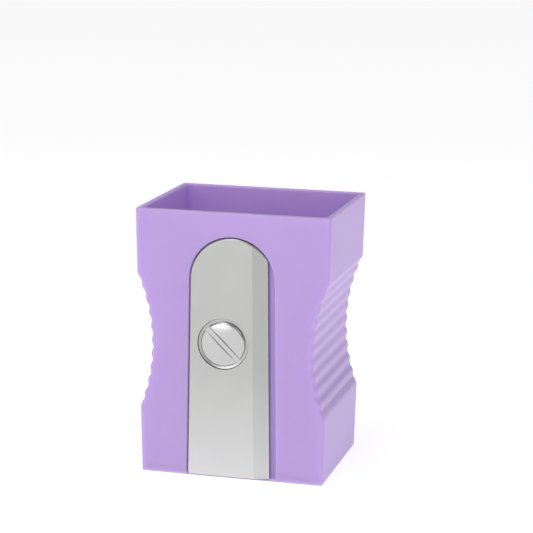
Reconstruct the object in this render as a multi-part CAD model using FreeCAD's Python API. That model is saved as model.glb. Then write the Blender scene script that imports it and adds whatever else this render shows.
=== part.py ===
"""Desk pencil cup in the shape of an oversized wedge pencil sharpener.

Millimetres.  X runs across the front, Y from front to back and Z up.  The origin is the
centre of the footprint, on the surface that the cup stands on.  The pieces are the
waisted cup shell, the base plate that closes it from below, the silver blade plate in
the front pocket, and the slotted screw through the blade plate.
"""
import FreeCAD, Part
import math
import os

Vec = FreeCAD.Vector
ORIGIN = Vec(0, 0, 0)
X_AXIS = Vec(1, 0, 0)
Y_AXIS = Vec(0, 1, 0)
REACH = 90.0                    # well beyond every side of the cup, for cutting tools
CLEAR = 1.0                     # how far a cutting tool passes a face
TOUCH = 0.01                    # tolerance for picking edges by their place

# Cup shell
height = 102.3
rim_width = 75.0
rim_depth = 62.4
base_width = 70.9
base_depth = 58.1
wall = 2.3
corner_radius = 1.5             # upright edges, outside
inner_corner_radius = 2.5       # upright edges, inside
rim_radius = 0.7                # both edges of the rim
foot_bevel = 0.4                # outside edges that meet the table

# Waisted grip on the two sides, with ribs that run from front to back
lower_shoulder_z = 26.0
upper_shoulder_z = 77.2
lower_shoulder_width = 72.0
upper_shoulder_width = 74.1
waist_depth = 5.33              # from the line between the shoulders to the mean surface
waist_radius = 67.0
rib_count = 9
rib_pitch_angle = 4.46          # degrees of the waist arc from rib to rib
rib_height = 0.56               # groove floor to rib top
upper_shoulder_radius = 1.0
lower_shoulder_radius = 4.0
groove_radius = 1.2             # end groove, against the block above or below it
inner_shoulder_radius = 8.0

# Arched pocket in the front wall, open at the foot
pocket_arch_z = 76.7            # centre of the arch
pocket_arch_radius = 16.3
pocket_foot_half_width = 17.4
pocket_edge_radius = 0.7
pocket_depth = 2.5              # the blade plate lies flush
pad_wall = 2.5                  # shell thickness behind the pocket
pad_margin = 2.3                # pad outside the pocket outline
pad_edge_radius = 1.2

# Blade plate
blade_gap = 0.3                 # to the pocket wall, left and top
blade_thickness = pocket_depth
blade_foot_gap = 0.3            # above the table
blade_edge_x = 14.85            # right edge at the foot
blade_lean = 0.0135             # the right edge and bevel move left by this much per mm of height
blade_edge_radius = 0.6
blade_corner_radius = 1.2
bevel_x = 8.95                  # bevel line at the foot
bevel_drop = 1.0                # at the right edge
peg_radius = 1.5
peg_length = 1.2
peg_root = 0.5                  # how far a peg starts inside the plate
peg_places = [(-9.0, 12.0), (7.0, 12.0), (0.0, 84.0)]
socket_clearance = 0.1
socket_depth = 1.4

# Slotted screw
screw_x = -3.3
screw_z = 52.2
head_radius = 8.5
head_rise = 0.75                # top of the dome above the blade face
head_edge_level = -0.1          # edge of the dome, relative to the blade face
head_edge_radius = 0.8
head_gap = 0.25                 # to the well that it sits in
recess_mouth_radius = 9.85
recess_step_radius = 9.6        # foot of the steep wall inside the mouth
recess_step_depth = 0.5
recess_ledge_depth = 0.7        # inner edge of the sloping ledge, at the well
recess_depth = 1.2              # floor of the well
slot_floor_width = 1.55
slot_depth = 1.2                # below the top of the dome
slot_wall_angle = 42.0          # degrees, each wall's lean away from the slot's middle plane
slot_angle = -44.5              # degrees, from +X towards +Z
slot_offset = 0.3               # middle of the slot from the middle of the head, to the lower left
stem_radius = 3.0
stem_length = 4.6               # from the underside of the head
stem_chamfer = 0.6
stem_end_gap = 0.4
stem_hole_clearance = 0.2       # in the blade plate
stem_bore_clearance = 0.05      # in the shell
boss_radius = 5.2
boss_depth = 7.4                # from the front face to the closed end of the boss
boss_edge_radius = 0.6

# Base plate
plate_thickness = 2.4
plate_inset = 0.6               # underside above the table
plate_gap = 0.15
plate_corner_radius = 1.4
rabbet_wall = 1.1               # shell thickness beside the base plate
rabbet_pad_wall = 1.5           # shell thickness between the seat and the base plate

front_tilt = math.degrees(math.atan((rim_depth - base_depth) / 2 / height))


def polygon(points):
    """Planar face from a list of corner points."""
    return Part.Face(Part.makePolygon(points + points[:1]))


def edges_where(shape, test):
    """Edges of a shape whose middle point passes a test."""
    chosen = []
    for edge in shape.Edges:
        middle = edge.valueAt((edge.FirstParameter + edge.LastParameter) / 2)
        if test(edge, middle):
            chosen.append(edge)
    return chosen


def spans_depth(edge):
    """True for an edge that runs from front to back."""
    return abs(edge.BoundBox.YLength - edge.Length) < TOUCH and edge.Length > CLEAR


def block(x0, x1, y0, y1, z0, z1):
    """Box between two opposite corners."""
    return Part.makeBox(x1 - x0, y1 - y0, z1 - z0, Vec(x0, y0, z0))


def on_front(shape):
    """Move a shape from the plane Y = 0 onto the leaning front face; +Y is inwards."""
    placed = shape.copy()
    placed.rotate(ORIGIN, X_AXIS, front_tilt)
    placed.translate(Vec(0, -base_depth / 2, 0))
    return placed


# ---------------------------------------------------------------- cup shell

def shoulders(inset):
    """Lower and upper shoulder points of the right side, moved in by inset."""
    lower = Vec(lower_shoulder_width / 2 - inset, 0, lower_shoulder_z)
    upper = Vec(upper_shoulder_width / 2 - inset, 0, upper_shoulder_z)
    return lower, upper


def waist_frame(inset):
    """Middle of the line between the shoulders, its direction and the inward normal."""
    lower, upper = shoulders(inset)
    along = (upper - lower).normalize()
    inward = Vec(-along.z, 0, along.x)
    return (lower + upper) * 0.5, along, inward


def ribbed_waist():
    """Arcs that alternate between rib and groove, from the lowest groove to the highest."""
    middle, along, inward = waist_frame(0)
    centre = middle + inward * (waist_depth - waist_radius)

    def wave_point(ribs_from_middle):
        angle = math.radians(ribs_from_middle * rib_pitch_angle)
        radius = waist_radius - rib_height / 2 * math.cos(2 * math.pi * ribs_from_middle)
        return centre + inward * (radius * math.cos(angle)) + along * (radius * math.sin(angle))

    last_groove = rib_count / 2
    stops = [-last_groove]
    stops += [half_rib / 2 - last_groove + 0.25 for half_rib in range(2 * rib_count)]
    stops += [last_groove]
    arcs = []
    for start, end in zip(stops, stops[1:]):
        arc = Part.Arc(wave_point(start), wave_point((start + end) / 2), wave_point(end))
        arcs.append(arc.toShape())
    return arcs, wave_point(-last_groove), wave_point(last_groove)


def outer_side():
    """Edges of the right side outside, from the foot to the rim."""
    lower, upper = shoulders(0)
    waist, groove_low, groove_high = ribbed_waist()
    foot = Vec(base_width / 2, 0, 0)
    rim = Vec(rim_width / 2, 0, height)
    return [
        Part.makeLine(foot, lower),
        Part.makeLine(lower, groove_low),
        *waist,
        Part.makeLine(groove_high, upper),
        Part.makeLine(upper, rim),
    ]


def inner_side():
    """Edges of the right side inside, from the foot to the rim: a plain waist."""
    lower, upper = shoulders(wall)
    middle, along, inward = waist_frame(wall)
    deepest = middle + inward * (waist_depth + rib_height / 2)
    foot = Vec(base_width / 2 - wall, 0, 0)
    rim = Vec(rim_width / 2 - wall, 0, height)
    return [
        Part.makeLine(foot, lower),
        Part.Arc(lower, deepest, upper).toShape(),
        Part.makeLine(upper, rim),
    ]


def side_prism(right_side):
    """Solid between a right side and its mirror image, longer than the cup is deep."""
    left_side = [edge.mirror(ORIGIN, X_AXIS) for edge in right_side]
    foot = right_side[0].Vertexes[0].Point
    rim = right_side[-1].Vertexes[-1].Point
    closing = [
        Part.makeLine(Vec(-foot.x, 0, foot.z), foot),
        Part.makeLine(Vec(-rim.x, 0, rim.z), rim),
    ]
    outline = Part.Wire(Part.sortEdges(right_side + left_side + closing)[0])
    prism = Part.Face(outline).extrude(Vec(0, REACH, 0))
    prism.translate(Vec(0, -REACH / 2, 0))
    return prism


def depth_wedge(inset):
    """Solid between the front and back faces, moved in by inset."""
    front_foot = -base_depth / 2 + inset
    front_rim = -rim_depth / 2 + inset
    face = polygon([
        Vec(-REACH / 2, front_foot, 0),
        Vec(-REACH / 2, front_rim, height),
        Vec(-REACH / 2, -front_rim, height),
        Vec(-REACH / 2, -front_foot, 0),
    ])
    return face.extrude(Vec(REACH, 0, 0))


def round_at(prism, places, radius):
    """Round the front-to-back edges of a prism at the given points and their mirror images."""
    def is_place(edge, middle):
        near = [abs(abs(middle.x) - p.x) + abs(middle.z - p.z) < TOUCH for p in places]
        return spans_depth(edge) and any(near)
    return prism.makeFillet(radius, edges_where(prism, is_place))


def upright(edge, middle):
    """True for an edge that belongs to one of the four upright corners."""
    box = edge.BoundBox
    return box.ZLength > TOUCH and box.YLength < box.ZLength


def outer_body():
    """Ribbed and waisted block with the outside shape of the cup."""
    lower, upper = shoulders(0)
    waist, groove_low, groove_high = ribbed_waist()
    prism = side_prism(outer_side())
    prism = round_at(prism, [lower], lower_shoulder_radius)
    prism = round_at(prism, [upper], upper_shoulder_radius)
    prism = round_at(prism, [groove_low, groove_high], groove_radius)
    body = prism.common(depth_wedge(0)).removeSplitter()
    return body.makeFillet(corner_radius, edges_where(body, upright))


def cavity():
    """Space inside the cup, open at the rim and at the foot."""
    lower, upper = shoulders(wall)
    prism = side_prism(inner_side())
    prism = round_at(prism, [lower, upper], inner_shoulder_radius)
    space = prism.common(depth_wedge(wall)).removeSplitter()
    return space.makeFillet(inner_corner_radius, edges_where(space, upright))


def arch_prism(shrink, near, far):
    """Arched pocket outline, shrunk on all sides, from one depth to another below the face."""
    radius = pocket_arch_radius - shrink
    foot = pocket_foot_half_width - shrink
    left = Vec(-radius, near, pocket_arch_z)
    right = Vec(radius, near, pocket_arch_z)
    top = Vec(0, near, pocket_arch_z + radius)
    left_foot = Vec(-foot, near, 0)
    right_foot = Vec(foot, near, 0)
    outline = Part.Wire([
        Part.makeLine(left_foot, left),
        Part.Arc(left, top, right).toShape(),
        Part.makeLine(right, right_foot),
        Part.makeLine(right_foot, left_foot),
    ])
    return Part.Face(outline).extrude(Vec(0, far - near, 0))


def front_cylinder(x, z, radius, near, far):
    """Cylinder square to the front face, from one depth to another below it."""
    return Part.makeCylinder(radius, far - near, Vec(x, near, z), Y_AXIS)


def front_pad():
    """Raised pad inside the front wall, behind the pocket, with the blind screw boss."""
    back = pocket_depth + pad_wall
    pad = arch_prism(-pad_margin, wall / 2, back)
    brim = edges_where(pad, lambda edge, middle: middle.y > back - TOUCH and middle.z > CLEAR)
    pad = pad.makeFillet(pad_edge_radius, brim)
    boss = front_cylinder(screw_x, screw_z, boss_radius, pocket_depth, boss_depth)
    end = edges_where(boss, lambda edge, middle: middle.y > boss_depth - TOUCH)
    boss = boss.makeFillet(boss_edge_radius, end)
    return pad.fuse(boss)


def shell_bores():
    """Blind bore for the screw stem and blind sockets for the blade's pegs."""
    stem_end = recess_depth + stem_length + stem_end_gap
    bores = front_cylinder(screw_x, screw_z, stem_radius + stem_bore_clearance, 0, stem_end)
    for x, z in peg_places:
        socket_end = pocket_depth + socket_depth
        bores = bores.fuse(front_cylinder(x, z, peg_radius + socket_clearance, 0, socket_end))
    return bores


def base_outline(side_gap, low, high):
    """Rounded rectangle that fills the rabbet, notched round the front pad."""
    half_width = base_width / 2 - rabbet_wall - side_gap
    half_depth = base_depth / 2 - rabbet_wall - side_gap
    plate = block(-half_width, half_width, -half_depth, half_depth, low, high)
    plate = plate.makeFillet(plate_corner_radius, edges_where(plate, upright))
    notch_half = pocket_foot_half_width + rabbet_wall + side_gap
    notch_back = -base_depth / 2 + pocket_depth + rabbet_pad_wall + side_gap
    notch = block(-notch_half, notch_half, -base_depth, notch_back, low - CLEAR, high + CLEAR)
    return plate.cut(notch)


def soften_rim(shell):
    """Round both edges of the rim."""
    rim = edges_where(shell, lambda edge, middle: middle.z > height - TOUCH)
    return shell.makeFillet(rim_radius, rim)


def soften_pocket(shell):
    """Round the front edge of the pocket, on both sides and round the arch."""
    lean = math.tan(math.radians(front_tilt))

    def on_pocket_edge(edge, middle):
        on_face = abs(middle.y + base_depth / 2 + lean * middle.z) < TOUCH
        beside = abs(middle.x) < pocket_foot_half_width + CLEAR
        below = middle.z < pocket_arch_z + pocket_arch_radius + CLEAR
        return on_face and beside and below and edge.BoundBox.ZLength > CLEAR
    return shell.makeFillet(pocket_edge_radius, edges_where(shell, on_pocket_edge))


def bevel_foot(shell):
    """Bevel the outside edges that meet the table."""
    spread = rim_width - base_width
    half_width = base_width / 2 + spread
    half_depth = base_depth / 2 + spread
    envelope = block(-half_width, half_width, -half_depth, half_depth, 0, height + CLEAR)
    lowest = edges_where(envelope, lambda edge, middle: middle.z < TOUCH)
    return shell.common(envelope.makeChamfer(spread + foot_bevel, lowest))


def make_cup_shell():
    """One moulding: four walls, ribbed grip, pocket, inner pad, and rabbet for the base."""
    shell = soften_rim(outer_body().cut(cavity()))
    pad = on_front(front_pad()).common(depth_wedge(wall / 2))
    shell = shell.fuse(pad).removeSplitter()
    shell = shell.cut(base_outline(0, -CLEAR, plate_inset + plate_thickness))
    shell = shell.cut(on_front(arch_prism(0, -CLEAR, pocket_depth)))
    shell = bevel_foot(soften_pocket(shell))
    shell = shell.cut(on_front(shell_bores()))
    return shell.removeSplitter().Solids[0]


# ---------------------------------------------------------------- other pieces

def make_base_plate():
    """Flat plate that closes the shell from below and stands just clear of the table."""
    return base_outline(plate_gap, plate_inset, plate_inset + plate_thickness).Solids[0]


def left_of_blade_edge():
    """Everything to the left of the blade's straight right edge."""
    face = polygon([
        Vec(-REACH, 0, 0),
        Vec(blade_edge_x, 0, 0),
        Vec(blade_edge_x - blade_lean * height, 0, height),
        Vec(-REACH, 0, height),
    ])
    return face.extrude(Vec(0, blade_thickness, 0))


def bevel_tool():
    """Wedge to remove so that the blade's face falls away towards its right edge."""
    across = blade_edge_x - bevel_x
    face = polygon([
        Vec(bevel_x, 0, 0),
        Vec(bevel_x + 2 * across, 0, 0),
        Vec(bevel_x + 2 * across, 2 * bevel_drop, 0),
    ])
    return face.extrude(Vec(-blade_lean * height, 0, height))


def screw_recess():
    """Recess for the screw head: a steep step, a sloping ledge, a well and the stem's hole."""
    well_radius = head_radius + head_gap
    hole_radius = stem_radius + stem_hole_clearance
    profile = polygon([
        Vec(0, -CLEAR, 0),
        Vec(recess_mouth_radius, -CLEAR, 0),
        Vec(recess_mouth_radius, 0, 0),
        Vec(recess_step_radius, recess_step_depth, 0),
        Vec(well_radius, recess_ledge_depth, 0),
        Vec(well_radius, recess_depth, 0),
        Vec(hole_radius, recess_depth, 0),
        Vec(hole_radius, blade_thickness + CLEAR, 0),
        Vec(0, blade_thickness + CLEAR, 0),
    ])
    recess = profile.revolve(ORIGIN, Y_AXIS, 360)
    recess.translate(Vec(screw_x, 0, screw_z))
    return recess


def make_blade_plate():
    """Arched silver plate with a bevel along its right edge and pegs on its back."""
    plate = arch_prism(blade_gap, 0, blade_thickness).common(left_of_blade_edge())
    plate = plate.cut(block(-REACH, REACH, -CLEAR, REACH, -CLEAR, blade_foot_gap))

    def is_left_foot(edge, middle):
        return spans_depth(edge) and middle.x < 0 and middle.z < blade_foot_gap + TOUCH
    plate = plate.makeFillet(blade_corner_radius, edges_where(plate, is_left_foot))
    plate = plate.cut(bevel_tool()).removeSplitter()

    def on_face_outline(edge, middle):
        on_back = middle.y > blade_thickness - TOUCH
        is_bevel_line = abs(middle.x - bevel_x + blade_lean * middle.z) < TOUCH
        return not (on_back or spans_depth(edge) or is_bevel_line)
    plate = plate.makeFillet(blade_edge_radius, edges_where(plate, on_face_outline))
    plate = plate.cut(screw_recess())
    peg_start = blade_thickness - peg_root
    peg_end = blade_thickness + peg_length
    pegs = [front_cylinder(x, z, peg_radius, peg_start, peg_end) for x, z in peg_places]
    return plate.fuse(pegs).removeSplitter().Solids[0]


def head_dome():
    """Shallow domed head, cut from a large ball, with a rounded edge."""
    rise = head_rise + head_edge_level
    ball_radius = (head_radius ** 2 + rise ** 2) / (2 * rise)
    disc = front_cylinder(screw_x, screw_z, head_radius, -head_rise, recess_depth)
    ball_centre = Vec(screw_x, ball_radius - head_rise, screw_z)
    dome = disc.common(Part.makeSphere(ball_radius, ball_centre))
    rim = edges_where(dome, lambda edge, middle: abs(middle.y - head_edge_level) < TOUCH)
    return dome.makeFillet(head_edge_radius, rim)


def slot_tool():
    """Bar with leaning sides that cuts the slot across the head."""
    floor_level = slot_depth - head_rise
    mouth_level = -head_rise - CLEAR
    floor_half = slot_floor_width / 2
    mouth_half = floor_half + math.tan(math.radians(slot_wall_angle)) * (floor_level - mouth_level)
    face = polygon([
        Vec(-REACH / 2, floor_level, -floor_half),
        Vec(-REACH / 2, floor_level, floor_half),
        Vec(-REACH / 2, mouth_level, mouth_half),
        Vec(-REACH / 2, mouth_level, -mouth_half),
    ])
    bar = face.extrude(Vec(REACH, 0, 0))
    bar.translate(Vec(0, 0, -slot_offset))
    bar.rotate(ORIGIN, Y_AXIS, -slot_angle)
    bar.translate(Vec(screw_x, 0, screw_z))
    return bar


def make_blade_screw():
    """Slotted round-head screw with a plain stem that fits the blind bore of the shell."""
    stem_end = recess_depth + stem_length
    stem = front_cylinder(screw_x, screw_z, stem_radius, recess_depth, stem_end)
    tip = edges_where(stem, lambda edge, middle: middle.y > stem_end - TOUCH)
    stem = stem.makeChamfer(stem_chamfer, tip)
    return head_dome().cut(slot_tool()).fuse(stem).removeSplitter().Solids[0]


if __name__ == "__main__":
    os.makedirs("parts", exist_ok=True)
    pieces = {
        "cup_shell": make_cup_shell(),
        "base_plate": make_base_plate(),
        "blade_plate": on_front(make_blade_plate()),
        "blade_screw": on_front(make_blade_screw()),
    }
    for name, shape in pieces.items():
        print(name, shape.ShapeType, shape.isValid(), round(shape.Volume, 1))
        shape.exportStep("parts/" + name + ".step")
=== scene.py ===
"""Looks for the sharpener-shaped pencil cup: materials, studio, camera. Metres, CAD frame."""
import math

import bpy
from mathutils import Matrix, Vector


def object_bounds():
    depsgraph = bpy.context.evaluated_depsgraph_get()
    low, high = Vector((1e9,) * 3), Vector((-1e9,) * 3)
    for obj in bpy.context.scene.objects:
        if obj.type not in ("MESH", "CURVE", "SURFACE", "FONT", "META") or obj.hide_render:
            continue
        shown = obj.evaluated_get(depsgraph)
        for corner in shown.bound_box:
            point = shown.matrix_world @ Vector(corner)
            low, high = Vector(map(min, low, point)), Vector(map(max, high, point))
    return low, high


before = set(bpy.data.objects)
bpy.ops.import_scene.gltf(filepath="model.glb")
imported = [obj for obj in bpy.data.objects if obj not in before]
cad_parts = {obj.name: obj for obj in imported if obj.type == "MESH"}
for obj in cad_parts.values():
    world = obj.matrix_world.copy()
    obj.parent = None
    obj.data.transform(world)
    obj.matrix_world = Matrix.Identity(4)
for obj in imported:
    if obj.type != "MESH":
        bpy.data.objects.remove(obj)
cad_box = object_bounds()
scene = bpy.context.scene

# Camera, solved from the perspective of the cup's straight edges
CAMERA_AZIMUTH = math.radians(14.361)
CAMERA_ELEVATION = math.radians(11.501)
CAMERA_ROLL = math.radians(0.757)
CAMERA_DISTANCE = 0.78670
CAMERA_RIGHT = 0.005600          # sideways offset of the view axis from the cup's centre
CAMERA_UP = 0.024600
CAMERA_SENSOR = 36.0             # mm
CAMERA_LENS = 137.14             # mm

MILLIMETRE = 0.001

# Linear colours
LILAC = (0.520, 0.356, 0.785)
LILAC_DEEP = (0.500, 0.340, 0.770)
SILVER = (0.460, 0.460, 0.450)
SILVER_DARK = (0.440, 0.440, 0.435)
# Painted reflection of the bright table, blended in near the plate's foot
SILVER_PAINTED_REFLECTION = (0.620, 0.620, 0.610)
CHROME = (0.520, 0.520, 0.520)
CHROME_DARK = (0.500, 0.500, 0.500)
FLOOR_WHITE = (0.925, 0.925, 0.925)
FLOOR_PALE = (0.915, 0.915, 0.915)
WHITE = (1, 1, 1, 1)

# Lowest and highest roughness
LILAC_ROUGHNESS = (0.34, 0.40)
SILVER_ROUGHNESS = (0.22, 0.27)
CHROME_ROUGHNESS = (0.12, 0.16)
FLOOR_ROUGHNESS = 0.9

LIGHT_DEPTH = 10 * MILLIMETRE    # how far light travels in the lilac plastic
LIGHT_DEPTH_RATIOS = (1.0, 0.85, 1.2)
TRANSLUCENCY = 0.45

# Blade plate: painted reflection of the bright table, lighter near the foot, by height, and
# painted shade on the bevel, darker by sideways normal
PAINTED_REFLECTION_FADE = [(0, 1), (22.5 * MILLIMETRE, 0.45), (45 * MILLIMETRE, 0)]
BEVEL_PAINTED_SHADE_BAND = [(0.10, 0), (0.13, 1), (0.25, 1), (0.35, 0)]
BEVEL_PAINTED_SHADE_TONE = (0.90, 0.90, 0.90)

# Surround: sine of the elevation, radiance
SKY = [(0, 0.85), (0.14, 0.48), (1, 0.38)]

# Glowing table
FLOOR_HALF = 8.0
FLOOR_GLOW = 0.55

# Softboxes: place, target, side of the square, watts
CUP_MIDDLE = (0, 0, 0.05)
SOFTBOXES = {
    "front_light": ((-0.08, -0.30, 0.75), (-0.05, -0.10, 0), 0.35, 0.60),
    "near_light": ((-0.12, -0.16, 0.45), (-0.03, -0.08, 0), 0.20, 0.20),
    "dome_light": ((-0.44, -1.20, 0.17), CUP_MIDDLE, 0.50, 1.40),
    "side_light": ((0.92, -0.30, 0.92), CUP_MIDDLE, 0.70, 1.25),
    "high_light": ((-0.35, -0.85, 0.95), (0, 0, 0.08), 0.60, 0.80),
}


# ---------------------------------------------------------------- materials

class Shader:
    """A Principled material with short calls for the nodes that it needs."""

    def __init__(self, name):
        self.material = bpy.data.materials.new(name)
        self.material.use_nodes = True
        self.nodes = self.material.node_tree.nodes
        self.links = self.material.node_tree.links
        self.bsdf = self.nodes["Principled BSDF"]
        self.place = self.nodes.new("ShaderNodeTexCoord").outputs["Object"]

    def set(self, **sockets):
        """Constants, set on the shader's own sockets."""
        for name, value in sockets.items():
            self.bsdf.inputs[name.replace("_", " ")].default_value = value

    def noise(self, size, detail=2.0):
        """Noise whose features measure about size metres."""
        node = self.nodes.new("ShaderNodeTexNoise")
        node.inputs["Scale"].default_value = 1 / size
        node.inputs["Detail"].default_value = detail
        self.links.new(self.place, node.inputs["Vector"])
        return node.outputs["Fac"]

    def colour_between(self, fac, first, second):
        """Base colour that wanders between two tones."""
        ramp = self.nodes.new("ShaderNodeValToRGB")
        for element, place, colour in zip(ramp.color_ramp.elements, (0.3, 0.7), (first, second)):
            element.position = place
            element.color = (*colour, 1)
        self.links.new(fac, ramp.inputs["Fac"])
        self.links.new(ramp.outputs["Color"], self.bsdf.inputs["Base Color"])

    def roughness_between(self, fac, limits):
        """Roughness that wanders between two values."""
        span = self.nodes.new("ShaderNodeMapRange")
        span.inputs["To Min"].default_value, span.inputs["To Max"].default_value = limits
        self.links.new(fac, span.inputs["Value"])
        self.links.new(span.outputs["Result"], self.bsdf.inputs["Roughness"])

    def axis(self, space, letter):
        """One component of the surface's place or normal."""
        parts = self.nodes.new("ShaderNodeSeparateXYZ")
        self.links.new(self.nodes["Texture Coordinate"].outputs[space], parts.inputs["Vector"])
        return parts.outputs[letter]

    def ramp(self, value, stops):
        """Straight lines between (value, result) stops."""
        node = self.nodes.new("ShaderNodeFloatCurve")
        curve = node.mapping.curves[0]
        while len(curve.points) < len(stops):
            curve.points.new(0.5, 0)
        for point, stop in zip(curve.points, stops):
            point.location = stop
            point.handle_type = "VECTOR"
        node.mapping.update()
        self.links.new(value, node.inputs["Value"])
        return node.outputs["Value"]

    def tint(self, fac, colour, blend):
        """Blend a colour over the base colour."""
        base = self.bsdf.inputs["Base Color"]
        mix = self.nodes.new("ShaderNodeMix")
        mix.data_type = "RGBA"
        mix.blend_type = blend
        mix.inputs["B"].default_value = (*colour, 1)
        self.links.new(fac, mix.inputs["Factor"])
        self.links.new(base.links[0].from_socket, mix.inputs["A"])
        self.links.new(mix.outputs["Result"], base)

    def bump(self, fac, depth, strength):
        """Surface relief of the given depth in metres."""
        node = self.nodes.new("ShaderNodeBump")
        node.inputs["Distance"].default_value = depth
        node.inputs["Strength"].default_value = strength
        self.links.new(fac, node.inputs["Height"])
        self.links.new(node.outputs["Normal"], self.bsdf.inputs["Normal"])


def lilac_plastic():
    """Moulded plastic: satin, a little translucent, with the fine grain of an eroded mould."""
    shader = Shader("lilac_plastic")
    shader.colour_between(shader.noise(22 * MILLIMETRE, 3.0), LILAC_DEEP, LILAC)
    shader.roughness_between(shader.noise(1.1 * MILLIMETRE), LILAC_ROUGHNESS)
    shader.bump(shader.noise(0.28 * MILLIMETRE), 0.02 * MILLIMETRE, 0.25)
    shader.set(IOR=1.5, Subsurface_Weight=TRANSLUCENCY)
    shader.set(Subsurface_Radius=LIGHT_DEPTH_RATIOS, Subsurface_Scale=LIGHT_DEPTH)
    return shader


def plated_silver(name, dark, light, roughness):
    """Plated finish: neutral metal with slight clouding."""
    shader = Shader(name)
    shader.colour_between(shader.noise(9 * MILLIMETRE, 3.0), dark, light)
    shader.roughness_between(shader.noise(0.8 * MILLIMETRE), roughness)
    shader.bump(shader.noise(0.35 * MILLIMETRE), 0.008 * MILLIMETRE, 0.15)
    shader.set(Metallic=1.0)
    return shader


def painted_reflection_plate():
    """Plated finish with painted light: a painted reflection of the bright table makes it
    lighter near the foot, and painted shade makes the ground bevel darker.
    """
    shader = plated_silver("satin_silver", SILVER_DARK, SILVER, SILVER_ROUGHNESS)
    # Painted reflection: the plate is lighter towards the foot, by height
    shader.tint(shader.ramp(shader.axis("Object", "Z"), PAINTED_REFLECTION_FADE), SILVER_PAINTED_REFLECTION, "MIX")
    # Painted shade: the plate's bevel is darker, by its sideways normal
    shader.tint(shader.ramp(shader.axis("Normal", "X"), BEVEL_PAINTED_SHADE_BAND), BEVEL_PAINTED_SHADE_TONE, "MULTIPLY")
    return shader


def dress(node, shader):
    """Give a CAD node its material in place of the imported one."""
    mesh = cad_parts[node].data
    mesh.materials.clear()
    mesh.materials.append(shader.material)


plastic = lilac_plastic()
dress("cup_shell", plastic)
dress("base_plate", plastic)
dress("blade_plate", painted_reflection_plate())
dress("blade_screw", plated_silver("bright_silver", CHROME_DARK, CHROME, CHROME_ROUGHNESS))


# ---------------------------------------------------------------- studio

def floor():
    """Plain white floor under the cup, lit from within like a light table."""
    mesh = bpy.data.meshes.new("floor")
    signs = ((-1, -1), (1, -1), (1, 1), (-1, 1))
    corners = [(x * FLOOR_HALF, y * FLOOR_HALF, 0) for x, y in signs]
    mesh.from_pydata(corners, [], [(0, 1, 2, 3)])
    piece = bpy.data.objects.new("floor", mesh)
    scene.collection.objects.link(piece)
    shader = Shader("floor_white")
    shader.colour_between(shader.noise(0.4), FLOOR_PALE, FLOOR_WHITE)
    shader.set(Roughness=FLOOR_ROUGHNESS, Emission_Color=WHITE, Emission_Strength=FLOOR_GLOW)
    mesh.materials.append(shader.material)


def softbox(name, place, target, size, power):
    """Square area light at a place, turned to a target."""
    data = bpy.data.lights.new(name, "AREA")
    data.shape = "SQUARE"
    data.size = size
    data.energy = power
    lamp = bpy.data.objects.new(name, data)
    lamp.location = place
    lamp.rotation_mode = "QUATERNION"
    lamp.rotation_quaternion = (Vector(target) - Vector(place)).to_track_quat("-Z", "Y")
    scene.collection.objects.link(lamp)


def surround():
    """World that is pale at the horizon and greyer above it."""
    world = bpy.data.worlds.new("studio")
    world.use_nodes = True
    nodes, links = world.node_tree.nodes, world.node_tree.links
    direction = nodes.new("ShaderNodeSeparateXYZ")
    links.new(nodes.new("ShaderNodeTexCoord").outputs["Generated"], direction.inputs["Vector"])
    ramp = nodes.new("ShaderNodeValToRGB")
    ramp.color_ramp.elements.new(0.5)
    for element, (height, level) in zip(ramp.color_ramp.elements, SKY):
        element.position = height
        element.color = (level, level, level, 1)
    links.new(direction.outputs["Z"], ramp.inputs["Fac"])
    links.new(ramp.outputs["Color"], nodes["Background"].inputs["Color"])
    scene.world = world


def studio():
    """Softboxes round the front of the cup, and the surround."""
    for name, setting in SOFTBOXES.items():
        softbox(name, *setting)
    surround()
    scene.view_settings.view_transform = "Standard"


def camera():
    """The photograph's camera."""
    a, e, r = CAMERA_AZIMUTH, CAMERA_ELEVATION, CAMERA_ROLL
    back = Vector((math.sin(a) * math.cos(e), -math.cos(a) * math.cos(e), math.sin(e)))
    level_right = Vector((math.cos(a), math.sin(a), 0))
    level_up = back.cross(level_right)
    right = level_right * math.cos(r) + level_up * math.sin(r)
    up = level_up * math.cos(r) - level_right * math.sin(r)
    centre = Vector((0, 0, (cad_box[0].z + cad_box[1].z) / 2))
    data = bpy.data.cameras.new("camera")
    data.sensor_width = CAMERA_SENSOR
    data.lens = CAMERA_LENS
    piece = bpy.data.objects.new("camera", data)
    place = centre + back * CAMERA_DISTANCE + right * CAMERA_RIGHT + up * CAMERA_UP
    turn = Matrix((right, up, back)).transposed().to_4x4()
    piece.matrix_world = Matrix.Translation(place) @ turn
    scene.collection.objects.link(piece)
    scene.camera = piece


floor()
studio()
camera()
